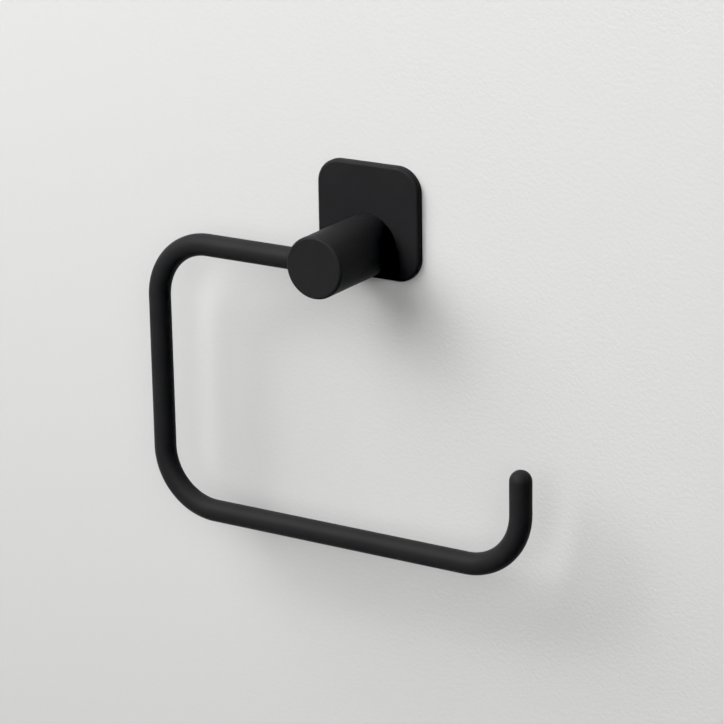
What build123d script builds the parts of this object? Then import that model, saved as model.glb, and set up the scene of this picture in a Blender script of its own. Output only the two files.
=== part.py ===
"""Wall-mounted toilet roll holder: a bent round bar on a round post, with a rounded square backplate.

Millimetres. The origin is the middle of the backplate on the wall's surface, +X is to the right as seen
from the room, +Z is up and +Y goes into the wall, so the holder stands out towards -Y.
"""

from build123d import *
import os

# Backplate: a thin shell with a soft front edge, open towards the wall
plate_size = 52.0
plate_depth = 3.5
plate_corner_radius = 11.3
plate_edge_radius = 1.5
plate_front_wall = 1.3
plate_rim = 1.6

# Post: a turned round, standing below the middle of the plate
post_radius = 14.0
post_front = 47.8  # distance of its front face from the wall
post_drop = 10.6  # distance of its axis below the middle of the plate
post_edge_radius = 1.3
post_back_chamfer = 0.3

# Bar: one bent round rod, all in a plane parallel to the wall
bar_radius = 5.0
bar_out = 38.6  # distance of its axis from the wall
bar_bend_radius = 27.0
bar_left = 88.3  # distance of the left leg's axis from the middle of the plate
bar_right = 96.7  # the same for the upturned end
bar_bottom = 135.5  # depth of the lower arm's axis below the middle of the plate
bar_tip = 88.3  # depth of the top of the domed end
bar_seat_end = 7.5  # where the rod stops inside the post
bar_end_chamfer = 0.5
bar_flat_depth = 0.6
bar_flat_length = 12.5

# Wall bracket: stamped sheet inside the backplate, with the stub riveted into it
bracket_size = 47.4
bracket_corner_radius = 9.0
bracket_thickness = 2.0
bracket_edge_chamfer = 0.25
stub_radius = 9.0
stub_front = 17.0
stub_chamfer = 1.0
spigot_radius = 5.0
spigot_across_flats = 8.0
rivet_flare = 0.6
dimple_depth = 1.6

# Clearances
stub_in_plate = 0.2
stub_in_post = 0.1
stub_end_gap = 0.5
bar_in_post = 0.05
thread_gap = 0.05
seat_gap = 0.02

# Set screws, with the thread left as a plain cylinder
post_screw_radius = 2.0
post_screw_length = 6.0
post_screw_out = 10.5
post_screw_tip_radius = 0.4
post_screw_socket = 2.0
bar_screw_radius = 2.5
bar_screw_length = 12.0
bar_screw_socket = 2.5

# Wall fixings: two countersunk screws in ribbed plugs, side by side at the middle of the plate
fixing_spacing = 30.0
fixing_hole_radius = 1.95
countersink_radius = 3.7
slot_travel = 3.0
wall_screw_radius = 1.75
wall_screw_head_radius = 3.5
wall_screw_length = 40.0
wall_screw_point = 4.0
head_recess_gap = 0.05
cross_recess_span = 3.6
cross_recess_width = 0.9
cross_recess_depth = 1.9
plug_radius = 3.0
plug_bore_radius = 1.8
plug_length = 30.0
plug_set_back = 2.5
plug_teeth = 4
plug_tooth_pitch = 4.8
plug_tooth_land = 2.4
plug_tooth_depth = 0.5
plug_teeth_start = 7.0
plug_nose_length = 3.0
plug_nose_radius = 2.4
plug_split_width = 0.8
plug_split_length = 18.1  # starts in a groove between two teeth

recess_depth = plate_depth - plate_front_wall
recess_size = plate_size - 2 * plate_rim
stub_bore_radius = stub_radius + stub_in_post
stub_bore_end = stub_front + stub_end_gap
fixing_places = {"left": -fixing_spacing / 2, "right": fixing_spacing / 2}

# Plane.XZ faces the room, so an offset from it is a distance out from the wall
post_plane = Plane(origin=(0, 0, -post_drop), x_dir=(1, 0, 0), z_dir=(0, -1, 0))


def turning_plane(x, z):
    """Plane for a half section about a line square to the wall: local x is the distance from the wall."""
    return Plane(origin=(x, 0, z), x_dir=(0, -1, 0), z_dir=(1, 0, 0))


def turning_axis(x, z):
    """The line square to the wall through x, z."""
    return Axis((x, 0, z), (0, -1, 0))


def make_set_screw(tip, radius, length, point_radius, point_length, socket):
    """A headless hexagon socket screw. The tip plane lies at its point and looks towards its socket."""
    socket_depth = 1.25 * socket
    back_chamfer = 0.2 * radius
    with BuildPart() as screw:
        with BuildSketch(Plane(origin=tip.origin, x_dir=tip.z_dir, z_dir=tip.x_dir)):
            with BuildLine():
                Polyline(
                    (0, 0),
                    (0, point_radius),
                    (point_length, radius),
                    (length - back_chamfer, radius),
                    (length, radius - back_chamfer),
                    (length, 0),
                    close=True,
                )
            make_face()
        revolve(axis=Axis(tip.origin, tip.z_dir))
        with BuildSketch(tip.offset(length)):
            RegularPolygon(radius=socket / 2, side_count=6, major_radius=False)
        extrude(amount=-socket_depth, mode=Mode.SUBTRACT)
    return screw


def make_wall_screw(x):
    """A countersunk cross-recess screw whose head lies flush in the bracket and whose point is in the wall."""
    head_top = bracket_thickness - head_recess_gap
    cone_offset = countersink_radius - bracket_thickness - seat_gap  # cone radius where it meets the wall
    point_start = head_top - wall_screw_length + wall_screw_point
    with BuildPart() as screw:
        with BuildSketch(turning_plane(x, 0)):
            with BuildLine():
                Polyline(
                    (head_top, 0),
                    (head_top, wall_screw_head_radius),
                    (wall_screw_head_radius - cone_offset, wall_screw_head_radius),
                    (wall_screw_radius - cone_offset, wall_screw_radius),
                    (point_start, wall_screw_radius),
                    (point_start - wall_screw_point, 0),
                    close=True,
                )
            make_face()
        revolve(axis=turning_axis(x, 0))
        with BuildSketch(Plane.XZ.offset(head_top)):
            with Locations((x, 0)):
                Rectangle(cross_recess_span, cross_recess_width)
                Rectangle(cross_recess_width, cross_recess_span)
        extrude(amount=-cross_recess_depth, taper=9, mode=Mode.SUBTRACT)
    return screw


def make_wall_plug(x):
    """A ribbed nylon plug, split at its far end so that the screw spreads it."""
    front = -plug_set_back
    back = front - plug_length
    outline = [(front, plug_bore_radius), (front, plug_radius)]
    for tooth in range(plug_teeth):
        crest = front - plug_teeth_start - tooth * plug_tooth_pitch
        outline.append((crest, plug_radius))
        outline.append((crest, plug_radius - plug_tooth_depth))
        outline.append((crest - plug_tooth_pitch + plug_tooth_land, plug_radius))
    outline.append((back + plug_nose_length, plug_radius))
    outline.append((back, plug_nose_radius))
    outline.append((back, plug_bore_radius))
    with BuildPart() as plug:
        with BuildSketch(turning_plane(x, 0)):
            with BuildLine():
                Polyline(*outline, close=True)
            make_face()
        revolve(axis=turning_axis(x, 0))
        with BuildSketch(Plane.XY):
            with Locations((x, -back)):
                Rectangle(plug_split_width, 2 * plug_split_length)
        extrude(amount=2 * plug_radius, both=True, mode=Mode.SUBTRACT)
    return plug


# Everything is written next to this file's working folder
os.makedirs("parts", exist_ok=True)

# Backplate
with BuildPart() as backplate:
    with BuildSketch(Plane.XZ):
        RectangleRounded(plate_size, plate_size, plate_corner_radius)
    extrude(amount=plate_depth)
    fillet(backplate.faces().sort_by(Axis.Y)[0].edges(), plate_edge_radius)
    with BuildSketch(Plane.XZ):
        RectangleRounded(recess_size, recess_size, plate_corner_radius - plate_rim)
    extrude(amount=recess_depth, mode=Mode.SUBTRACT)
    with BuildSketch(post_plane):
        Circle(stub_radius + stub_in_plate)
    extrude(amount=plate_depth, mode=Mode.SUBTRACT)
backplate.part.label = "backplate"
export_step(backplate.part, "parts/backplate.step")

# Stub: a turned pin with a flatted spigot that is riveted over behind the bracket
with BuildPart() as mounting_stub:
    with BuildSketch(turning_plane(0, -post_drop)):
        with BuildLine():
            Polyline(
                (0, 0),
                (0, spigot_radius + rivet_flare),
                (rivet_flare, spigot_radius),
                (bracket_thickness, spigot_radius),
                (bracket_thickness, stub_radius),
                (stub_front - stub_chamfer, stub_radius),
                (stub_front, stub_radius - stub_chamfer),
                (stub_front, 0),
                close=True,
            )
        make_face()
    revolve(axis=turning_axis(0, -post_drop))
    with BuildSketch(post_plane):
        Circle(stub_radius)
        Rectangle(2 * stub_radius, spigot_across_flats, mode=Mode.SUBTRACT)
    extrude(amount=bracket_thickness, mode=Mode.SUBTRACT)
    dimple_plane = Plane(origin=(0, -post_screw_out, -post_drop - stub_radius), z_dir=(0, 0, 1))
    with Locations(dimple_plane):
        Cone(dimple_depth, 0, dimple_depth, align=(Align.CENTER, Align.CENTER, Align.MIN), mode=Mode.SUBTRACT)
mounting_stub.part.label = "mounting_stub"
export_step(mounting_stub.part, "parts/mounting_stub.step")

# Wall bracket: a round hole on the left, a slot on the right for levelling, and the stub's hole swaged to it
with BuildPart() as wall_bracket:
    with BuildSketch(Plane.XZ):
        RectangleRounded(bracket_size, bracket_size, bracket_corner_radius)
    extrude(amount=bracket_thickness)
    chamfer(wall_bracket.faces().sort_by(Axis.Y)[0].edges(), bracket_edge_chamfer)
    with Locations(Plane.XZ.offset(bracket_thickness)):
        with Locations((fixing_places["left"], 0)):
            CounterSinkHole(fixing_hole_radius, countersink_radius, counter_sink_angle=90)
    with BuildSketch(Plane.XZ):
        with Locations((fixing_places["right"], 0)):
            SlotCenterToCenter(slot_travel, 2 * fixing_hole_radius)
    extrude(amount=bracket_thickness, mode=Mode.SUBTRACT)
    with BuildSketch(Plane.XZ.offset(bracket_thickness)):
        with Locations((fixing_places["right"], 0)):
            SlotCenterToCenter(slot_travel, 2 * countersink_radius)
    extrude(amount=fixing_hole_radius - countersink_radius, taper=45, mode=Mode.SUBTRACT)
    add(mounting_stub.part, mode=Mode.SUBTRACT)
wall_bracket.part.label = "wall_bracket"
export_step(wall_bracket.part, "parts/wall_bracket.step")

# Post: bored at the back for the stub, drilled through to the bar's cross bore, tapped below for its set screw
with BuildPart() as post:
    with BuildSketch(turning_plane(0, -post_drop)):
        with BuildLine():
            Polyline(
                (plate_depth, stub_bore_radius),
                (plate_depth, post_radius),
                (post_front, post_radius),
                (post_front, 0),
                (bar_out, 0),
                (bar_out, bar_screw_radius),
                (stub_bore_end, bar_screw_radius),
                (stub_bore_end, stub_bore_radius),
                close=True,
            )
        make_face()
    revolve(axis=turning_axis(0, -post_drop))
    fillet(post.faces().sort_by(Axis.Y)[0].edges(), post_edge_radius)
    back_face = post.faces().filter_by(Axis.Y).sort_by(Axis.Y)[-1]
    chamfer(back_face.edges(), post_back_chamfer)
    bore_mouth = Plane(origin=(-post_radius, -bar_out, -post_drop), z_dir=(-1, 0, 0))
    with Locations(bore_mouth):
        Hole(bar_radius + bar_in_post, depth=post_radius + bar_seat_end + stub_end_gap)
    screw_mouth = Plane(origin=(0, -post_screw_out, -post_drop - post_radius), z_dir=(0, 0, -1))
    with Locations(screw_mouth):
        Hole(post_screw_radius, depth=post_radius - stub_radius / 2)
post.part.label = "post"
export_step(post.part, "parts/post.step")

# Bar: swept along one flat path, domed at its free end and flatted inside the post
with BuildPart() as bar:
    with BuildLine(Plane.XZ.offset(bar_out)) as bar_path:
        FilletPolyline(
            (bar_seat_end, -post_drop),
            (-bar_left, -post_drop),
            (-bar_left, -bar_bottom),
            (bar_right, -bar_bottom),
            (bar_right, -bar_tip - bar_radius),
            radius=bar_bend_radius,
        )
    with BuildSketch(Plane(origin=bar_path.line @ 0, z_dir=bar_path.line % 0)):
        Circle(bar_radius)
    sweep()
    chamfer(bar.faces().filter_by(Axis.X).sort_by(Axis.X)[-1].edges(), bar_end_chamfer)
    with Locations((bar_right, -bar_out, -bar_tip - bar_radius)):
        Sphere(bar_radius)
    with BuildSketch(Plane.XZ.offset(bar_out - 2 * bar_radius)):
        with Locations((bar_seat_end, -post_drop)):
            Rectangle(2 * bar_flat_length, 3 * bar_radius)
    extrude(amount=bar_radius + bar_flat_depth, mode=Mode.SUBTRACT)
bar.part.label = "bar"
export_step(bar.part, "parts/bar.step")

# Set screws: a cone point in the stub's dimple, and a flat point on the bar's flat
cone_tip = post_screw_tip_radius + seat_gap
post_screw_plane = Plane(
    origin=(0, -post_screw_out, -post_drop - stub_radius + dimple_depth - cone_tip), z_dir=(0, 0, -1)
)
post_screw_body = post_screw_radius - thread_gap
post_set_screw = make_set_screw(
    post_screw_plane,
    post_screw_body,
    post_screw_length,
    post_screw_tip_radius,
    post_screw_body - post_screw_tip_radius,
    post_screw_socket,
)
post_set_screw.part.label = "post_set_screw"
export_step(post_set_screw.part, "parts/post_set_screw.step")

bar_screw_front = bar_out - bar_radius + bar_flat_depth - seat_gap
bar_screw_plane = Plane(origin=(0, -bar_screw_front, -post_drop), x_dir=(1, 0, 0), z_dir=(0, 1, 0))
bar_screw_body = bar_screw_radius - thread_gap
bar_screw_bevel = 0.2 * bar_screw_radius
bar_set_screw = make_set_screw(
    bar_screw_plane,
    bar_screw_body,
    bar_screw_length,
    bar_screw_body - bar_screw_bevel,
    bar_screw_bevel,
    bar_screw_socket,
)
bar_set_screw.part.label = "bar_set_screw"
export_step(bar_set_screw.part, "parts/bar_set_screw.step")

# Wall fixings, one of each on either side
for side, x in fixing_places.items():
    wall_screw = make_wall_screw(x)
    wall_screw.part.label = f"wall_screw_{side}"
    export_step(wall_screw.part, f"parts/wall_screw_{side}.step")
    wall_plug = make_wall_plug(x)
    wall_plug.part.label = f"wall_plug_{side}"
    export_step(wall_plug.part, f"parts/wall_plug_{side}.step")
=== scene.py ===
"""Looks of a wall-mounted toilet roll holder: a coated rod, post and backplate, with plated fixings."""

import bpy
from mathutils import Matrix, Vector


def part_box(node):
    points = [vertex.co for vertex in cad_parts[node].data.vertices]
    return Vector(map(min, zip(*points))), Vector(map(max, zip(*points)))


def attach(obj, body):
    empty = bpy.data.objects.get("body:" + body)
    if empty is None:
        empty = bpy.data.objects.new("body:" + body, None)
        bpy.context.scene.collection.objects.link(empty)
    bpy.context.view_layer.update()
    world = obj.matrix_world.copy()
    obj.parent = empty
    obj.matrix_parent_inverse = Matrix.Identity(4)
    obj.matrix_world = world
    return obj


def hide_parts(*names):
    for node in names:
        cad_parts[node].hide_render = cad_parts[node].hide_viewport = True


bl_info = {
    "name": "Toilet roll holder",
    "version": (1, 0, 0),
    "blender": (4, 5, 0),
    "location": "3D View > Sidebar > Roll holder",
    "description": "Builds and finishes the pieces of a wall-mounted toilet roll holder, with its stage",
    "category": "Add Mesh",
}

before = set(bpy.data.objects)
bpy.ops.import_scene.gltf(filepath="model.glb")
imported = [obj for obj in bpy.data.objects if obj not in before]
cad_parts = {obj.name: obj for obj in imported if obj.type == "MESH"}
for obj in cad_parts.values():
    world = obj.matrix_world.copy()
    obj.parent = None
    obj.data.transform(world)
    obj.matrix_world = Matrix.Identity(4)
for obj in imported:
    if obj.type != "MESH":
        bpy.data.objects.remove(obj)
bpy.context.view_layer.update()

import math

import bmesh
import bpy
from bpy.props import FloatProperty, FloatVectorProperty, IntProperty, PointerProperty
from bpy.types import Operator, Panel, PropertyGroup
from mathutils import Matrix, Vector

MM = 0.001
MERGE_DISTANCE = 0.001 * MM
# Width of the narrow flat band beside each soft edge, which keeps the shading of the flats clean
FLAT_MARGIN = 0.3 * MM
BODY = "root"

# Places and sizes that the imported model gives. Out is the distance from the wall, towards the room
PLATE_LOW, PLATE_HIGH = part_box("backplate")
POST_LOW, POST_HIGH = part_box("post")
STUB_LOW, STUB_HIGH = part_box("mounting_stub")
ROD_LOW, ROD_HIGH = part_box("bar")
ROD_SCREW_LOW, ROD_SCREW_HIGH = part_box("bar_set_screw")
POST_SCREW_LOW, POST_SCREW_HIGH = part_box("post_set_screw")
WALL_SCREW_BOXES = [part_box("wall_screw_left"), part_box("wall_screw_right")]

PLATE_HALF = (PLATE_HIGH.x - PLATE_LOW.x) / 2
PLATE_OUT = -PLATE_LOW.y
POST_RADIUS = (POST_HIGH.x - POST_LOW.x) / 2
POST_AXIS_Z = (POST_HIGH.z + POST_LOW.z) / 2
POST_FRONT = -POST_LOW.y
POST_BACK = -POST_HIGH.y
STUB_RADIUS = (STUB_HIGH.x - STUB_LOW.x) / 2
STUB_FRONT = -STUB_LOW.y
ROD_RADIUS = (ROD_HIGH.y - ROD_LOW.y) / 2
ROD_OUT = -(ROD_HIGH.y + ROD_LOW.y) / 2

# How far the rod goes past the post's axis, and the depth and length of the flat on it
ROD_SEAT_END = 7.5 * MM
ROD_FLAT = 0.6 * MM
ROD_FLAT_LENGTH = 12.5 * MM


def length_property(name, description, default):
    """A size in metres with the unit shown beside it."""
    return FloatProperty(
        name=name, description=description, default=default, min=0.0, unit="LENGTH", precision=5
    )


def power_property(name, description, default):
    """A light's power in watts."""
    return FloatProperty(name=name, description=description, default=default, min=0.0, unit="POWER")


def level_property(name, description, default, precision=3):
    """A strength or a brightness."""
    return FloatProperty(name=name, description=description, default=default, min=0.0, precision=precision)


def share_property(name, description, default):
    """A value from 0 to 1."""
    return FloatProperty(name=name, description=description, default=default, min=0.0, max=1.0)


def colour_property(name, description, default):
    """A colour as linear red, green and blue."""
    return FloatVectorProperty(name=name, description=description, subtype="COLOR", default=default)


class RodSettings(PropertyGroup):
    """The bent round rod that carries the roll."""

    bend_radius: length_property("Bend radius", "Radius of the rod's three bends, to its axis", 27.0 * MM)
    tip_z: FloatProperty(
        name="Tip height",
        description="Height of the top of the domed end, from the middle of the backplate",
        default=-88.3 * MM,
        unit="LENGTH",
        precision=5,
    )
    bend_steps: IntProperty(name="Bend steps", description="Rings in each bend", default=40, min=8, max=90)
    sides: IntProperty(name="Sides", description="Facets round the rod", default=96, min=24, max=160)
    dome_rings: IntProperty(
        name="Dome rings", description="Rings in the domed end", default=16, min=4, max=40
    )


class PlateSettings(PropertyGroup):
    """The rounded square backplate, a shell that is open towards the wall."""

    corner_radius: length_property("Corner radius", "Radius of the corners seen from the front", 11.3 * MM)
    edge_radius: length_property("Edge radius", "Radius of the soft edge round the front", 1.5 * MM)
    rim: length_property("Rim", "Thickness of the rim that stands on the wall", 1.6 * MM)
    front_wall: length_property("Front thickness", "Thickness of the front wall", 1.3 * MM)
    corner_steps: IntProperty(name="Corner steps", description="Facets round each corner", default=24, min=6)
    edge_steps: IntProperty(name="Edge steps", description="Facets across the soft edge", default=10, min=3)


class PostSettings(PropertyGroup):
    """The turned post that the rod goes into."""

    edge_radius: length_property("Edge radius", "Radius of the soft edge round the front disc", 1.3 * MM)
    back_chamfer: length_property("Back chamfer", "Bevel where the post meets the backplate", 0.3 * MM)
    sides: IntProperty(name="Sides", description="Facets round the post", default=192, min=48, max=360)
    edge_steps: IntProperty(name="Edge steps", description="Facets across the soft edge", default=12, min=3)


class ScrewSettings(PropertyGroup):
    """The threaded wall screws."""

    pitch: length_property("Pitch", "Distance from one turn of the thread to the next", 1.8 * MM)
    core_radius: length_property("Core radius", "Radius at the root of the thread", 1.15 * MM)
    point_length: length_property("Point", "Length of the tapered point", 5.0 * MM)
    neck: length_property("Neck", "Depth below the head's top where the thread begins", 2.6 * MM)
    ring_spacing: length_property("Ring spacing", "Distance between the rings of the mesh", 0.15 * MM)
    sides: IntProperty(name="Sides", description="Facets round the screw", default=36, min=12, max=96)


class FinishSettings(PropertyGroup):
    """Colours and textures of the holder's finishes."""

    coat_colour: colour_property("Coat", "Colour of the powder coat", (0.033, 0.033, 0.034))
    coat_roughness: share_property("Coat roughness", "Roughness of the powder coat", 0.46)
    coat_gloss: share_property("Coat gloss", "Specular level of the powder coat", 0.06)
    coat_grain: length_property("Coat grain", "Width of one grain of the powder coat", 0.45 * MM)
    zinc_colour: colour_property("Zinc", "Colour of the plated bracket and stub", (0.62, 0.64, 0.66))
    screw_colour: colour_property("Screw zinc", "Colour of the wall screws", (0.66, 0.65, 0.61))
    oxide_colour: colour_property("Black oxide", "Colour of the set screws", (0.05, 0.05, 0.055))
    nylon_colour: colour_property("Nylon", "Colour of the wall plugs", (0.42, 0.43, 0.44))


class StageSettings(PropertyGroup):
    """The wall behind the holder, the floor, the lights and the camera."""

    wall_colour: colour_property("Wall", "Colour of the painted wall", (0.716, 0.714, 0.71))
    floor_colour: colour_property("Floor", "Colour of the floor", (0.72, 0.72, 0.71))
    floor_glow: level_property("Floor glow", "Brightness that the floor has of its own", 0.25)
    key_power: power_property("Key light", "Power of the broad light at the upper left", 42.5)
    core_power: power_property("Key core", "Power of the small light within the key", 4.0)
    top_power: power_property("Top light", "Power of the light above the left side", 6.0)
    fill_power: power_property("Fill light", "Power of the soft light at the front right", 14.5)
    back_power: power_property("Back lights", "Power of each light behind the wall", 10.0)
    front_ambient: level_property("Ambient in front", "Strength of the even light on the room's side", 0.12)
    back_ambient: level_property("Ambient behind", "Strength of the even light behind the wall", 0.75)
    backdrop_tone: level_property("Backdrop", "Brightness of what the camera sees past the wall", 0.62)
    black_level: level_property("Black level", "Brightness that is shown as black", 0.018, precision=4)


class RollHolderSettings(PropertyGroup):
    """Everything that a user would change."""

    rod: PointerProperty(type=RodSettings)
    plate: PointerProperty(type=PlateSettings)
    post: PointerProperty(type=PostSettings)
    screw: PointerProperty(type=ScrewSettings)
    finish: PointerProperty(type=FinishSettings)
    stage: PointerProperty(type=StageSettings)


def add_node(tree, kind, inputs=None, **settings):
    """Adds a node. Its settings are set first, and each input takes a value or a link."""
    node = tree.nodes.new(kind)
    for name, value in settings.items():
        setattr(node, name, value)
    for name, value in (inputs or {}).items():
        if isinstance(value, bpy.types.NodeSocket):
            tree.links.new(value, node.inputs[name])
        else:
            node.inputs[name].default_value = value
    return node


def add_math(tree, operation, *values, clamp=False):
    """Adds a Math node and returns its result."""
    node = add_node(tree, "ShaderNodeMath", dict(enumerate(values)), operation=operation, use_clamp=clamp)
    return node.outputs[0]


def new_geometry_tree(name, sizes, counts, materials):
    """A Geometry Nodes tree with named inputs, its input node and its output node."""
    tree = bpy.data.node_groups.new(name, "GeometryNodeTree")
    tree.interface.new_socket(name="Geometry", in_out="INPUT", socket_type="NodeSocketGeometry")
    kinds = {"NodeSocketFloat": sizes, "NodeSocketInt": counts, "NodeSocketMaterial": materials}
    for kind, names in kinds.items():
        for input_name in names:
            tree.interface.new_socket(name=input_name, in_out="INPUT", socket_type=kind)
    tree.interface.new_socket(name="Geometry", in_out="OUTPUT", socket_type="NodeSocketGeometry")
    return tree, tree.nodes.new("NodeGroupInput").outputs, tree.nodes.new("NodeGroupOutput")


def end_geometry_tree(tree, geometry, material, output):
    """Ends a tree in Realize Instances and Set Material."""
    realized = add_node(tree, "GeometryNodeRealizeInstances", {"Geometry": geometry}).outputs[0]
    finished = add_node(tree, "GeometryNodeSetMaterial", {"Geometry": realized, "Material": material})
    tree.links.new(finished.outputs[0], output.inputs[0])


def run_geometry_tree(obj, tree, values):
    """Runs the tree on the object with these inputs, and leaves its result as the object's plain mesh."""
    modifier = obj.modifiers.new(tree.name, "NODES")
    modifier.node_group = tree
    for item in tree.interface.items_tree:
        if item.item_type == "SOCKET" and item.in_out == "INPUT" and item.name in values:
            modifier[item.identifier] = values[item.name]
    keep_result(obj)


def keep_result(obj):
    """Turns what the object's modifiers make into its plain mesh, and removes them."""
    bpy.context.view_layer.update()
    evaluated = obj.evaluated_get(bpy.context.evaluated_depsgraph_get())
    made = bpy.data.meshes.new_from_object(evaluated)
    before = obj.data
    obj.modifiers.clear()
    obj.data = made
    bpy.data.meshes.remove(before)
    made.name = obj.name


def new_object(name, mesh):
    """Links an object for the mesh, at the origin."""
    obj = bpy.data.objects.new(name, mesh)
    bpy.context.collection.objects.link(obj)
    return obj


def object_from(name, bm):
    """An object of what was built, closed shells facing outwards."""
    bmesh.ops.recalc_face_normals(bm, faces=bm.faces)
    mesh = bpy.data.meshes.new(name)
    bm.to_mesh(mesh)
    bm.free()
    return new_object(name, mesh)


def cut_away(obj, cutter):
    """Takes the cutter's volume away from the object."""
    modifier = obj.modifiers.new("Cut", "BOOLEAN")
    modifier.operation = "DIFFERENCE"
    modifier.solver = "EXACT"
    modifier.object = cutter
    keep_result(obj)
    mesh = cutter.data
    bpy.data.objects.remove(cutter)
    bpy.data.meshes.remove(mesh)


def finish_piece(obj, nodes, material, crease=math.radians(30)):
    """Shades a piece, gives it its finish and lets it stand for its CAD nodes."""
    obj.data.shade_smooth()
    obj.data.set_sharp_from_angle(angle=crease)
    obj.data.materials.clear()
    obj.data.materials.append(material)
    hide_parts(*nodes)
    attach(obj, BODY)


def add_loop(bm, points):
    """A closed loop of vertices."""
    return [bm.verts.new(point) for point in points]


def join_loops(bm, first, second):
    """A band of faces between two loops with as many vertices."""
    count = len(first)
    for i in range(count):
        following = (i + 1) % count
        bm.faces.new((first[i], first[following], second[following], second[i]))


def fill_between(bm, outer, inner):
    """Fills a flat face between an outline and a hole in it."""
    edges = [bm.edges.get((loop[i - 1], loop[i])) for loop in (outer, inner) for i in range(len(loop))]
    bmesh.ops.triangle_fill(bm, use_beauty=True, use_dissolve=False, edges=edges)


def circle_points(radius, out, sides, axis_z=POST_AXIS_Z):
    """Points round a circle parallel to the wall, about the line square to it at that height."""
    angles = (2 * math.pi * i / sides for i in range(sides))
    return [Vector((radius * math.cos(a), -out, axis_z + radius * math.sin(a))) for a in angles]


def rounded_square_points(half, radius, out, steps):
    """Points round a rounded square parallel to the wall, its corners as arcs."""
    points = []
    for corner in range(4):
        quarter = math.pi / 2 * corner
        toward = Vector((math.cos(quarter + math.pi / 4), 0, math.sin(quarter + math.pi / 4)))
        centre = toward * (half - radius) * math.sqrt(2)
        for i in range(steps + 1):
            angle = quarter + math.pi / 2 * i / steps
            points.append(centre + Vector((radius * math.cos(angle), -out, radius * math.sin(angle))))
    return points


def arc_profile(edge_radius, steps):
    """Inset from the side and distance short of the front, from the side round to the front."""
    for i in range(steps + 1):
        angle = math.pi / 2 * i / steps
        yield edge_radius * (1 - math.cos(angle)), edge_radius * (1 - math.sin(angle))


def cylinder_cutter(start, end, radius, sides):
    """A closed cylinder between two points."""
    bm = bmesh.new()
    axis = end - start
    turn = axis.to_track_quat("Z", "Y").to_matrix().to_4x4()
    place = Matrix.Translation((start + end) / 2) @ turn
    bmesh.ops.create_cone(
        bm, cap_ends=True, segments=sides, radius1=radius, radius2=radius, depth=axis.length, matrix=place
    )
    return object_from("Cutter", bm)


def tapered_cutter(places, out_wide, out_narrow, wide, narrow):
    """Closed blocks along the line square to the wall, one at each place, tapering from wide to narrow."""
    bm = bmesh.new()
    for place in places:
        loops = []
        for out, (half_x, half_z) in ((out_wide, wide), (out_narrow, narrow)):
            corners = ((-half_x, -half_z), (half_x, -half_z), (half_x, half_z), (-half_x, half_z))
            loops.append(add_loop(bm, [Vector((place.x + x, -out, place.z + z)) for x, z in corners]))
            bm.faces.new(loops[-1])
        join_loops(bm, *loops)
    return object_from("Cutter", bm)


def start_material(name):
    """A material with its Principled shader and the piece's own Object coordinates."""
    material = bpy.data.materials.new(name)
    material.use_nodes = True
    tree = material.node_tree
    shader = tree.nodes["Principled BSDF"]
    return material, tree, shader, tree.nodes.new("ShaderNodeTexCoord").outputs["Object"]


def add_noise(tree, coordinates, width, detail=2.0, roughness=0.5):
    """Noise whose blotches are about that wide."""
    inputs = {"Vector": coordinates, "Scale": 1 / width, "Detail": detail, "Roughness": roughness}
    return add_node(tree, "ShaderNodeTexNoise", inputs).outputs["Fac"]


def add_range(tree, value, low, high, start=0.3, end=0.7):
    """Spreads the noise's usual range over low to high."""
    inputs = {"Value": value, "From Min": start, "From Max": end, "To Min": low, "To Max": high}
    return add_node(tree, "ShaderNodeMapRange", inputs).outputs["Result"]


def add_tint(tree, factor, first, second):
    """A blend of two colours."""
    node = add_node(tree, "ShaderNodeMix", {"Factor": factor}, data_type="RGBA")
    colours = [socket for socket in node.inputs if socket.type == "RGBA"]
    for socket, colour in zip(colours, (first, second)):
        socket.default_value = (*colour, 1.0)
    return next(socket for socket in node.outputs if socket.type == "RGBA")


def add_bumps(tree, shader, layers):
    """Bumps laid over each other, each a height and how deep it is in metres."""
    normal = None
    for height, depth in layers:
        inputs = {"Height": height, "Distance": depth, "Strength": 1.0}
        if normal:
            inputs["Normal"] = normal
        normal = add_node(tree, "ShaderNodeBump", inputs).outputs["Normal"]
    tree.links.new(normal, shader.inputs["Normal"])


def shade(colour, factor):
    """The colour made lighter or darker."""
    return tuple(min(1.0, channel * factor) for channel in colour)


def powder_coat(finish):
    """Fine matt black powder coat: small fused grains with a slight waviness under them."""
    material, tree, shader, place = start_material("powder_coat")
    grain = add_noise(tree, place, finish.coat_grain, detail=3.0, roughness=0.55)
    waviness = add_noise(tree, place, 6 * finish.coat_grain, detail=1.0)
    clouding = add_noise(tree, place, 18 * MM, detail=2.0)
    tint = add_tint(tree, clouding, shade(finish.coat_colour, 0.92), shade(finish.coat_colour, 1.1))
    tree.links.new(tint, shader.inputs["Base Color"])
    smoothest, roughest = finish.coat_roughness - 0.05, finish.coat_roughness + 0.07
    rough = add_range(tree, grain, low=smoothest, high=roughest)
    tree.links.new(rough, shader.inputs["Roughness"])
    shader.inputs["Specular IOR Level"].default_value = finish.coat_gloss
    add_bumps(tree, shader, ((waviness, 0.02 * MM), (grain, 0.012 * MM)))
    return material


def plated_steel(name, colour, brightness):
    """Zinc-plated steel: a faint crystal mottle in colour and gloss over fine rolling marks.

    The brightest crystals are lighter than the colour by the brightness.
    """
    material, tree, shader, place = start_material(name)
    mottle = add_noise(tree, place, 1.6 * MM, detail=4.0, roughness=0.6)
    grain = add_noise(tree, place, 0.12 * MM, detail=2.0)
    tint = add_tint(tree, mottle, shade(colour, 0.86), shade(colour, brightness))
    tree.links.new(tint, shader.inputs["Base Color"])
    tree.links.new(add_range(tree, mottle, low=0.28, high=0.46), shader.inputs["Roughness"])
    shader.inputs["Metallic"].default_value = 1.0
    add_bumps(tree, shader, ((mottle, 0.006 * MM), (grain, 0.003 * MM)))
    return material


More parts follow.
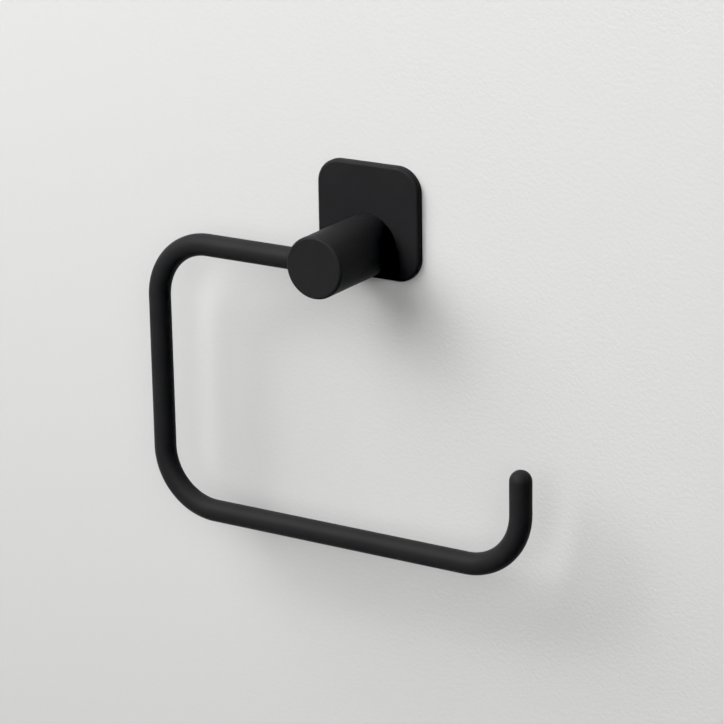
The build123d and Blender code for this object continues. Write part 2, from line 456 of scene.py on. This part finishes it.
def black_oxide(colour):
    """Oiled black oxide on steel, slightly uneven."""
    material, tree, shader, place = start_material("black_oxide")
    blotches = add_noise(tree, place, 0.8 * MM, detail=3.0)
    tint = add_tint(tree, blotches, shade(colour, 0.8), shade(colour, 1.4))
    tree.links.new(tint, shader.inputs["Base Color"])
    tree.links.new(add_range(tree, blotches, low=0.3, high=0.48), shader.inputs["Roughness"])
    shader.inputs["Metallic"].default_value = 0.6
    add_bumps(tree, shader, ((blotches, 0.004 * MM),))
    return material


def moulded_nylon(colour):
    """Grey moulded nylon with a fine eroded texture."""
    material, tree, shader, place = start_material("moulded_nylon")
    texture = add_noise(tree, place, 0.18 * MM, detail=3.0)
    flow = add_noise(tree, place, 4 * MM, detail=1.0)
    tint = add_tint(tree, flow, shade(colour, 0.94), shade(colour, 1.06))
    tree.links.new(tint, shader.inputs["Base Color"])
    tree.links.new(add_range(tree, texture, low=0.42, high=0.56), shader.inputs["Roughness"])
    shader.inputs["Subsurface Weight"].default_value = 0.15
    shader.inputs["Subsurface Scale"].default_value = 0.6 * MM
    add_bumps(tree, shader, ((texture, 0.006 * MM),))
    return material


def wall_paint(colour):
    """Matt wall paint with a roller texture, deeper at the right. From behind, the wall is see-through."""
    material, tree, shader, place = start_material("wall_paint")
    stipple = add_noise(tree, place, 1.6 * MM, detail=3.0, roughness=0.55)
    waves = add_noise(tree, place, 14 * MM, detail=2.0)
    tint = add_tint(tree, stipple, shade(colour, 0.995), shade(colour, 1.005))
    tree.links.new(tint, shader.inputs["Base Color"])
    shader.inputs["Roughness"].default_value = 0.75
    shader.inputs["Specular IOR Level"].default_value = 0.2
    across = add_node(tree, "ShaderNodeSeparateXYZ", {0: place}).outputs["X"]
    deeper = add_range(tree, across, low=0.35, high=1.0, start=-150 * MM, end=150 * MM)
    roller_marks = add_math(tree, "MULTIPLY", stipple, deeper)
    add_bumps(tree, shader, ((waves, 0.05 * MM), (roller_marks, 0.18 * MM)))
    behind = tree.nodes.new("ShaderNodeNewGeometry").outputs["Backfacing"]
    clear = tree.nodes.new("ShaderNodeBsdfTransparent").outputs[0]
    either = add_node(tree, "ShaderNodeMixShader", {0: behind, 1: shader.outputs[0], 2: clear})
    tree.links.new(either.outputs[0], tree.nodes["Material Output"].inputs["Surface"])
    return material


def floor_paint(colour, glow):
    """Plain pale floor with a little clouding, and a glow that keeps it pale away from the lights."""
    material, tree, shader, place = start_material("floor_paint")
    clouding = add_noise(tree, place, 0.15, detail=3.0)
    tint = add_tint(tree, clouding, shade(colour, 0.97), shade(colour, 1.03))
    tree.links.new(tint, shader.inputs["Base Color"])
    shader.inputs["Roughness"].default_value = 0.7
    shader.inputs["Emission Color"].default_value = (1.0, 1.0, 1.0, 1.0)
    shader.inputs["Emission Strength"].default_value = glow
    return material


def finish_of(kind, make):
    """The material with that name, made when it is first asked for."""
    return bpy.data.materials.get(kind) or make()


def coat_of(settings):
    """The powder coat that the visible pieces share."""
    return finish_of("powder_coat", lambda: powder_coat(settings.finish))


def rod_tree():
    """Tree that rounds a route's corners and sweeps a circle along it, scaled by the route's girth."""
    tree, given, output = new_geometry_tree(
        "Bent rod", ("Rod radius", "Bend radius"), ("Bend steps", "Sides"), ("Coat",)
    )
    girth, corner = (
        add_node(tree, "GeometryNodeInputNamedAttribute", {"Name": name}, data_type="FLOAT").outputs[0]
        for name in ("girth", "corner")
    )
    route = add_node(tree, "GeometryNodeMeshToCurve", {"Mesh": given["Geometry"]}).outputs[0]
    sized = add_node(tree, "GeometryNodeSetCurveRadius", {"Curve": route, "Radius": girth}).outputs[0]
    bend = add_math(tree, "MULTIPLY", corner, given["Bend radius"])
    rounded = add_node(
        tree,
        "GeometryNodeFilletCurve",
        {"Curve": sized, "Count": given["Bend steps"], "Radius": bend},
        mode="POLY",
    ).outputs[0]
    section_inputs = {"Resolution": given["Sides"], "Radius": given["Rod radius"]}
    section = add_node(tree, "GeometryNodeCurvePrimitiveCircle", section_inputs).outputs[0]
    reach = add_node(tree, "GeometryNodeInputRadius").outputs[0]
    swept_inputs = {"Curve": rounded, "Profile Curve": section, "Scale": reach, "Fill Caps": True}
    swept = add_node(tree, "GeometryNodeCurveToMesh", swept_inputs).outputs[0]
    merged = add_node(
        tree, "GeometryNodeMergeByDistance", {"Geometry": swept, "Distance": MERGE_DISTANCE}
    ).outputs[0]
    end_geometry_tree(tree, merged, given["Coat"], output)
    return tree


def route_mesh(stations):
    """A line of points, each with its place, its share of the rod's radius and whether it is a bend."""
    places = [place for place, _, _ in stations]
    edges = [(i, i + 1) for i in range(len(stations) - 1)]
    mesh = bpy.data.meshes.new("Route")
    mesh.from_pydata(places, edges, [])
    for name, column in (("girth", 1), ("corner", 2)):
        attribute = mesh.attributes.new(name, "FLOAT", "POINT")
        attribute.data.foreach_set("value", [station[column] for station in stations])
    return mesh


class ROLLHOLDER_OT_bar(Operator):
    """Bends the round rod along its route, domes its free end and flattens it for its set screw"""

    bl_idname = "rollholder.make_bar"
    bl_label = "Bar"

    def execute(self, context):
        settings = context.scene.roll_holder
        rod = settings.rod
        end_chamfer = 0.5 * MM
        top = ROD_HIGH.z - ROD_RADIUS
        bottom = ROD_LOW.z + ROD_RADIUS
        left = ROD_LOW.x + ROD_RADIUS
        right = ROD_HIGH.x - ROD_RADIUS
        dome_base = rod.tip_z - ROD_RADIUS
        y = -ROD_OUT
        stations = [
            (Vector((ROD_SEAT_END, y, top)), 1 - end_chamfer / ROD_RADIUS, 0.0),
            (Vector((ROD_SEAT_END - end_chamfer, y, top)), 1.0, 0.0),
            (Vector((left, y, top)), 1.0, 1.0),
            (Vector((left, y, bottom)), 1.0, 1.0),
            (Vector((right, y, bottom)), 1.0, 1.0),
        ]
        for i in range(rod.dome_rings + 1):
            angle = math.pi / 2 * i / rod.dome_rings
            rise = ROD_RADIUS * math.sin(angle)
            stations.append((Vector((right, y, dome_base + rise)), math.cos(angle), 0.0))
        bar = new_object("bar", route_mesh(stations))
        values = {
            "Rod radius": ROD_RADIUS,
            "Bend radius": rod.bend_radius,
            "Bend steps": rod.bend_steps,
            "Sides": rod.sides,
            "Coat": coat_of(settings),
        }
        run_geometry_tree(bar, rod_tree(), values)
        flat_out = ROD_OUT - ROD_RADIUS + ROD_FLAT
        flat_half = (ROD_FLAT_LENGTH, 2 * ROD_RADIUS)
        place = Vector((ROD_SEAT_END, y, top))
        cut_away(bar, tapered_cutter([place], flat_out - ROD_RADIUS, flat_out, flat_half, flat_half))
        finish_piece(bar, ["bar"], coat_of(settings))
        return {"FINISHED"}


class ROLLHOLDER_OT_backplate(Operator):
    """Lofts the rounded square backplate with its soft edge, its recess and the hole for the stub"""

    bl_idname = "rollholder.make_backplate"
    bl_label = "Backplate"

    def execute(self, context):
        settings = context.scene.roll_holder
        plate = settings.plate
        stub_clearance = 0.2 * MM
        hole_sides = 96
        recess_out = PLATE_OUT - plate.front_wall
        outline = [(plate.rim, recess_out), (plate.rim, 0.0), (0.0, 0.0), (0.0, FLAT_MARGIN)]
        outline.append((0.0, PLATE_OUT - plate.edge_radius - FLAT_MARGIN))
        for inset, short in arc_profile(plate.edge_radius, plate.edge_steps):
            outline.append((inset, PLATE_OUT - short))
        outline.append((plate.edge_radius + FLAT_MARGIN, PLATE_OUT))
        bm = bmesh.new()
        loops = []
        for inset, out in outline:
            corner = plate.corner_radius - inset
            points = rounded_square_points(PLATE_HALF - inset, corner, out, plate.corner_steps)
            loops.append(add_loop(bm, points))
        for first, second in zip(loops, loops[1:]):
            join_loops(bm, first, second)
        hole_radius = STUB_RADIUS + stub_clearance
        hole = [
            add_loop(bm, circle_points(hole_radius, out, hole_sides)) for out in (recess_out, PLATE_OUT)
        ]
        join_loops(bm, *hole)
        fill_between(bm, loops[0], hole[0])
        fill_between(bm, loops[-1], hole[1])
        backplate = object_from("backplate", bm)
        finish_piece(backplate, ["backplate"], coat_of(settings))
        return {"FINISHED"}


class ROLLHOLDER_OT_post(Operator):
    """Turns the post and drills it for the bar and for the set screw underneath"""

    bl_idname = "rollholder.make_post"
    bl_label = "Post"

    def execute(self, context):
        settings = context.scene.roll_holder
        post = settings.post
        stub_clearance = 0.1 * MM
        end_clearance = 0.5 * MM
        rod_clearance = 0.05 * MM
        tapped_radius = 2.5 * MM
        screw_hole_radius = 2.0 * MM
        rod_hole_sides = 96
        screw_hole_sides = 48
        overshoot = 1 * MM
        bore_radius = STUB_RADIUS + stub_clearance
        bore_end = STUB_FRONT + end_clearance
        profile = [
            (tapped_radius, ROD_OUT),
            (tapped_radius, bore_end),
            (bore_radius, bore_end),
            (bore_radius, POST_BACK),
            (POST_RADIUS - post.back_chamfer, POST_BACK),
            (POST_RADIUS, POST_BACK + post.back_chamfer),
            (POST_RADIUS, POST_FRONT - post.edge_radius - FLAT_MARGIN),
        ]
        for inset, short in arc_profile(post.edge_radius, post.edge_steps):
            profile.append((POST_RADIUS - inset, POST_FRONT - short))
        profile.append((POST_RADIUS - post.edge_radius - FLAT_MARGIN, POST_FRONT))
        bm = bmesh.new()
        loops = [add_loop(bm, circle_points(radius, out, post.sides)) for radius, out in profile]
        for first, second in zip(loops, loops[1:]):
            join_loops(bm, first, second)
        bm.faces.new(loops[0])
        bm.faces.new(loops[-1])
        turned = object_from("post", bm)
        middle = Vector((0.0, -ROD_OUT, POST_AXIS_Z))
        outside = Vector((-POST_RADIUS - overshoot, 0.0, 0.0))
        seat = Vector((ROD_SEAT_END + end_clearance, 0.0, 0.0))
        hole_radius = ROD_RADIUS + rod_clearance
        cut_away(turned, cylinder_cutter(middle + outside, middle + seat, hole_radius, rod_hole_sides))
        screw_x = (POST_SCREW_LOW.x + POST_SCREW_HIGH.x) / 2
        screw_y = (POST_SCREW_LOW.y + POST_SCREW_HIGH.y) / 2
        below = Vector((screw_x, screw_y, POST_LOW.z - overshoot))
        inside = Vector((screw_x, screw_y, POST_AXIS_Z - STUB_RADIUS / 2))
        cut_away(turned, cylinder_cutter(below, inside, screw_hole_radius, screw_hole_sides))
        finish_piece(turned, ["post"], coat_of(settings))
        return {"FINISHED"}


def copy_of_node(node):
    """A copy of a CAD node, its loose triangles joined up and the normals they came with dropped."""
    bm = bmesh.new()
    bm.from_mesh(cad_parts[node].data)
    bmesh.ops.remove_doubles(bm, verts=bm.verts, dist=MERGE_DISTANCE)
    mesh = bpy.data.meshes.new(node)
    bm.to_mesh(mesh)
    bm.free()
    for name in ("custom_normal", "sharp_edge", "sharp_face"):
        if name in mesh.attributes:
            mesh.attributes.remove(mesh.attributes[name])
    return mesh


def finish_node(node, material):
    """A merged and shaded copy of a CAD node that stands for it under the same name."""
    mesh = copy_of_node(node)
    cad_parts[node].name = f"cad_{node}"
    finish_piece(new_object(node, mesh), [node], material)


class ROLLHOLDER_OT_bracket(Operator):
    """Finishes the wall bracket and the stub that is riveted into it"""

    bl_idname = "rollholder.make_bracket"
    bl_label = "Wall bracket and stub"

    def execute(self, context):
        colour = context.scene.roll_holder.finish.zinc_colour
        zinc = finish_of("zinc_plate", lambda: plated_steel("zinc_plate", colour, brightness=1.08))
        for node in ("wall_bracket", "mounting_stub"):
            finish_node(node, zinc)
        return {"FINISHED"}


class ROLLHOLDER_OT_set_screws(Operator):
    """Finishes the two black set screws"""

    bl_idname = "rollholder.make_set_screws"
    bl_label = "Set screws"

    def execute(self, context):
        colour = context.scene.roll_holder.finish.oxide_colour
        oxide = finish_of("black_oxide", lambda: black_oxide(colour))
        for node in ("post_set_screw", "bar_set_screw"):
            finish_node(node, oxide)
        return {"FINISHED"}


class ROLLHOLDER_OT_wall_plugs(Operator):
    """Finishes the two ribbed wall plugs"""

    bl_idname = "rollholder.make_wall_plugs"
    bl_label = "Wall plugs"

    def execute(self, context):
        colour = context.scene.roll_holder.finish.nylon_colour
        nylon = finish_of("moulded_nylon", lambda: moulded_nylon(colour))
        for node in ("wall_plug_left", "wall_plug_right"):
            finish_node(node, nylon)
        return {"FINISHED"}


def screw_tree():
    """Tree that makes a countersunk threaded screw from rings and sets one at each point."""
    # With this slope, the thread's ridge takes up half of each turn
    ridge_slope = 4.0
    radii = ("Head radius", "Thread radius", "Core radius")
    lengths = ("Length", "Head land", "Pitch", "Point length", "Neck")
    tree, given, output = new_geometry_tree("Wall screw", radii + lengths, ("Rings", "Sides"), ("Steel",))
    rod = add_node(
        tree,
        "GeometryNodeMeshCylinder",
        {
            "Vertices": given["Sides"],
            "Side Segments": given["Rings"],
            "Radius": given["Head radius"],
            "Depth": given["Length"],
        },
    ).outputs["Mesh"]
    place = add_node(tree, "GeometryNodeInputPosition").outputs[0]
    axes = add_node(tree, "ShaderNodeSeparateXYZ", {0: place}).outputs
    half_length = add_math(tree, "DIVIDE", given["Length"], 2.0)
    depth = add_math(tree, "SUBTRACT", half_length, axes["Z"])
    angle = add_math(tree, "ARCTAN2", axes["Y"], axes["X"])
    turn = add_math(tree, "DIVIDE", angle, 2 * math.pi)
    along = add_math(tree, "DIVIDE", axes["Z"], given["Pitch"])
    phase = add_math(tree, "FRACT", add_math(tree, "SUBTRACT", along, turn))
    from_crest = add_math(tree, "ABSOLUTE", add_math(tree, "SUBTRACT", phase, 0.5))
    falling = add_math(tree, "MULTIPLY", from_crest, ridge_slope)
    crest = add_math(tree, "SUBTRACT", 1.0, falling, clamp=True)
    past_neck = add_math(tree, "SUBTRACT", depth, given["Neck"])
    growing = add_math(tree, "DIVIDE", past_neck, given["Pitch"], clamp=True)
    thread_height = add_math(tree, "SUBTRACT", given["Thread radius"], given["Core radius"])
    ridge = add_math(tree, "MULTIPLY", thread_height, add_math(tree, "MULTIPLY", crest, growing))
    from_tip = add_math(tree, "SUBTRACT", given["Length"], depth)
    taper = add_math(tree, "DIVIDE", from_tip, given["Point length"], clamp=True)
    shank = add_math(tree, "MULTIPLY", add_math(tree, "ADD", given["Core radius"], ridge), taper)
    below_land = add_math(tree, "MAXIMUM", add_math(tree, "SUBTRACT", depth, given["Head land"]), 0.0)
    head = add_math(tree, "SUBTRACT", given["Head radius"], below_land)
    radius = add_math(tree, "MAXIMUM", head, shank)
    x = add_math(tree, "MULTIPLY", radius, add_math(tree, "COSINE", angle))
    y = add_math(tree, "MULTIPLY", radius, add_math(tree, "SINE", angle))
    z = add_math(tree, "MULTIPLY", depth, -1.0)
    moved = add_node(tree, "ShaderNodeCombineXYZ", {"X": x, "Y": y, "Z": z}).outputs[0]
    shaped = add_node(tree, "GeometryNodeSetPosition", {"Geometry": rod, "Position": moved}).outputs[0]
    merged = add_node(
        tree, "GeometryNodeMergeByDistance", {"Geometry": shaped, "Distance": MERGE_DISTANCE}
    ).outputs[0]
    placed = add_node(
        tree,
        "GeometryNodeInstanceOnPoints",
        {"Points": given["Geometry"], "Instance": merged, "Rotation": (math.pi / 2, 0.0, 0.0)},
    ).outputs[0]
    end_geometry_tree(tree, placed, given["Steel"], output)
    return tree


class ROLLHOLDER_OT_wall_screws(Operator):
    """Threads the two wall screws, with their countersunk heads and cross recesses"""

    bl_idname = "rollholder.make_wall_screws"
    bl_label = "Wall screws"

    def execute(self, context):
        settings = context.scene.roll_holder
        screw = settings.screw
        colour = settings.finish.screw_colour
        steel = finish_of("bright_zinc", lambda: plated_steel("bright_zinc", colour, brightness=1.12))
        head_land = 0.13 * MM
        thread_radius = 1.75 * MM
        low, high = WALL_SCREW_BOXES[0]
        length = high.y - low.y
        head_top = -low.y
        places = [
            Vector(((low.x + high.x) / 2, low.y, (low.z + high.z) / 2)) for low, high in WALL_SCREW_BOXES
        ]
        points = bpy.data.meshes.new("Fixing places")
        points.from_pydata(places, [], [])
        screws = new_object("wall_screws", points)
        values = {
            "Length": length,
            "Head radius": (high.x - low.x) / 2,
            "Head land": head_land,
            "Thread radius": thread_radius,
            "Core radius": screw.core_radius,
            "Pitch": screw.pitch,
            "Point length": screw.point_length,
            "Neck": screw.neck,
            "Rings": round(length / screw.ring_spacing),
            "Sides": screw.sides,
            "Steel": steel,
        }
        run_geometry_tree(screws, screw_tree(), values)
        recess_depth = 1.9 * MM
        half_span = 1.8 * MM
        half_width = 0.45 * MM
        wall_angle = math.radians(9)
        narrowing = recess_depth * math.tan(wall_angle)
        for half_x, half_z in ((half_span, half_width), (half_width, half_span)):
            wide = (half_x, half_z)
            narrow = (half_x - narrowing, half_z - narrowing)
            cut_away(screws, tapered_cutter(places, head_top, head_top - recess_depth, wide, narrow))
        nodes = ["wall_screw_left", "wall_screw_right"]
        finish_piece(screws, nodes, steel, crease=math.radians(40))
        return {"FINISHED"}


def direction_from(azimuth, elevation):
    """The direction towards a viewer. Azimuth 0 is straight out from the wall, and 90 is the right side."""
    a = math.radians(azimuth)
    e = math.radians(elevation)
    return Vector((math.sin(a) * math.cos(e), -math.cos(a) * math.cos(e), math.sin(e)))


def add_soft_light(name, azimuth, elevation, distance, width, height, power, aim):
    """A large rectangular light that looks at the aim point."""
    data = bpy.data.lights.new(name, "AREA")
    data.shape = "RECTANGLE"
    data.size = width
    data.size_y = height
    data.energy = power
    light = bpy.data.objects.new(name, data)
    bpy.context.collection.objects.link(light)
    toward = direction_from(azimuth, elevation)
    turn = toward.to_track_quat("Z", "Y").to_matrix().to_4x4()
    light.matrix_world = Matrix.Translation(aim + toward * distance) @ turn


def add_flat_stage(name, corners, faces, material):
    """A flat surface that isn't part of the holder."""
    mesh = bpy.data.meshes.new(name)
    mesh.from_pydata(corners, [], faces)
    mesh.materials.append(material)
    surface = new_object(name, mesh)
    return surface


class ROLLHOLDER_OT_stage(Operator):
    """Sets up the wall, the floor, the lights and the camera"""

    bl_idname = "rollholder.make_stage"
    bl_label = "Stage"

    def execute(self, context):
        stage = context.scene.roll_holder.stage
        self.add_wall(stage)
        self.add_floor(stage)
        self.add_lights(context.scene, stage)
        self.add_camera(context.scene)
        self.set_tones(context.scene.view_settings, stage)
        return {"FINISHED"}

    def add_wall(self, stage):
        """The wall stands just behind the backplate, and is open where the backplate covers it."""
        gap = 0.2 * MM
        half_width = 3.0
        outer_corner = 1 * MM
        inset = 2 * MM
        corner_steps = 8
        plate = bpy.context.scene.roll_holder.plate
        bm = bmesh.new()
        square = rounded_square_points(half_width, outer_corner, -gap, corner_steps)
        opening = rounded_square_points(PLATE_HALF - inset, plate.corner_radius - inset, -gap, corner_steps)
        join_loops(bm, add_loop(bm, square), add_loop(bm, opening))
        mesh = bpy.data.meshes.new("wall")
        bm.to_mesh(mesh)
        bm.free()
        mesh.materials.append(wall_paint(stage.wall_colour))
        new_object("wall", mesh)

    def add_floor(self, stage):
        """The floor lies well below the holder. It shows in reflections and throws no soft light up."""
        half_width = 4.0
        height = -1.0
        corners = [(-half_width, -half_width, height), (half_width, -half_width, height)]
        corners += [(half_width, half_width, height), (-half_width, half_width, height)]
        paint = floor_paint(stage.floor_colour, stage.floor_glow)
        floor = add_flat_stage("floor", corners, [(0, 1, 2, 3)], paint)
        floor.visible_diffuse = False

    def add_lights(self, scene, stage):
        """A broad light at the upper left with a small core, one above it, a fill and two behind."""
        aim = Vector((0.0, 0.0, -0.06))
        distance = 2.0
        # Name, azimuth, elevation, width, height and power of each
        lights = (
            ("key_light", -36.0, 40.0, 2.0, 1.4, stage.key_power),
            ("key_core", -36.0, 40.0, 0.4, 0.4, stage.core_power),
            ("top_light", -55.0, 70.0, 0.9, 0.9, stage.top_power),
            ("fill_light", 26.0, 20.0, 1.3, 0.9, stage.fill_power),
            ("back_light_left", 220.0, 35.0, 1.2, 1.2, stage.back_power),
            ("back_light_right", 140.0, 35.0, 1.2, 1.2, stage.back_power),
        )
        for name, azimuth, elevation, width, height, power in lights:
            add_soft_light(name, azimuth, elevation, distance, width, height, power, aim)
        scene.world = self.make_world(stage)

    def make_world(self, stage):
        """Even white light, weak in front of the wall and bright behind it, seen as a pale tone."""
        world = bpy.data.worlds.new("studio")
        world.use_nodes = True
        tree = world.node_tree
        direction = tree.nodes.new("ShaderNodeTexCoord").outputs["Generated"]
        backward = add_node(tree, "ShaderNodeSeparateXYZ", {0: direction}).outputs["Y"]
        strength = add_range(tree, backward, stage.front_ambient, stage.back_ambient, start=0.0, end=0.25)
        seen = tree.nodes.new("ShaderNodeLightPath").outputs["Is Camera Ray"]
        mix_inputs = {"Factor": seen, "A": strength, "B": stage.backdrop_tone}
        backdrop = add_node(tree, "ShaderNodeMix", mix_inputs)
        background = tree.nodes["Background"]
        background.inputs["Color"].default_value = (1.0, 1.0, 1.0, 1.0)
        tree.links.new(backdrop.outputs["Result"], background.inputs["Strength"])
        return world

    def set_tones(self, view, stage):
        """Plain colours, with the deepest shadows shown as black."""
        view.view_transform = "Standard"
        view.use_curve_mapping = True
        view.curve_mapping.black_level = (stage.black_level,) * 3
        view.curve_mapping.update()

    def add_camera(self, scene):
        """The camera stands to the right and looks down on the holder, turned a little about its view."""
        azimuth = 32.27
        elevation = 17.772
        roll = math.radians(-0.973)
        distance = 1419.692 * MM
        target = Vector((-6.221, 0.0, -67.047)) * MM
        data = bpy.data.cameras.new("camera")
        data.sensor_width = 36.0
        data.lens = 157.70
        data.clip_start = 0.05
        data.clip_end = 50.0
        camera = bpy.data.objects.new("camera", data)
        bpy.context.collection.objects.link(camera)
        back = direction_from(azimuth, elevation)
        right = (-back).cross(Vector((0.0, 0.0, 1.0))).normalized()
        up = right.cross(-back)
        rolled_right = right * math.cos(roll) + up * math.sin(roll)
        rolled_up = up * math.cos(roll) - right * math.sin(roll)
        turned = Matrix((rolled_right, rolled_up, back)).transposed()
        camera.matrix_world = Matrix.Translation(target + back * distance) @ turned.to_4x4()
        scene.camera = camera


OPERATORS = (
    ROLLHOLDER_OT_stage,
    ROLLHOLDER_OT_backplate,
    ROLLHOLDER_OT_post,
    ROLLHOLDER_OT_bar,
    ROLLHOLDER_OT_bracket,
    ROLLHOLDER_OT_set_screws,
    ROLLHOLDER_OT_wall_screws,
    ROLLHOLDER_OT_wall_plugs,
)


class ROLLHOLDER_PT_panel(Panel):
    """Lists the holder's settings and the buttons that make its pieces"""

    bl_idname = "ROLLHOLDER_PT_panel"
    bl_label = "Roll holder"
    bl_space_type = "VIEW_3D"
    bl_region_type = "UI"
    bl_category = "Roll holder"

    def draw(self, context):
        settings = context.scene.roll_holder
        for group_name in settings.bl_rna.properties.keys():
            group = getattr(settings, group_name)
            if isinstance(group, PropertyGroup):
                box = self.layout.box()
                box.label(text=group_name.capitalize())
                for property_name in type(group).__annotations__:
                    box.prop(group, property_name)
        for operator in OPERATORS:
            self.layout.operator(operator.bl_idname)


CLASSES = (
    RodSettings,
    PlateSettings,
    PostSettings,
    ScrewSettings,
    FinishSettings,
    StageSettings,
    RollHolderSettings,
    *OPERATORS,
    ROLLHOLDER_PT_panel,
)


def register():
    """Adds the classes, and the settings to the scene."""
    for cls in CLASSES:
        bpy.utils.register_class(cls)
    bpy.types.Scene.roll_holder = PointerProperty(type=RollHolderSettings)


def unregister():
    """Takes the settings and the classes away again."""
    del bpy.types.Scene.roll_holder
    for cls in reversed(CLASSES):
        bpy.utils.unregister_class(cls)


def main():
    """Makes the stage and every piece."""
    register()
    bpy.ops.rollholder.make_stage()
    bpy.ops.rollholder.make_backplate()
    bpy.ops.rollholder.make_post()
    bpy.ops.rollholder.make_bar()
    bpy.ops.rollholder.make_bracket()
    bpy.ops.rollholder.make_set_screws()
    bpy.ops.rollholder.make_wall_screws()
    bpy.ops.rollholder.make_wall_plugs()


if __name__ == "__main__":
    main()
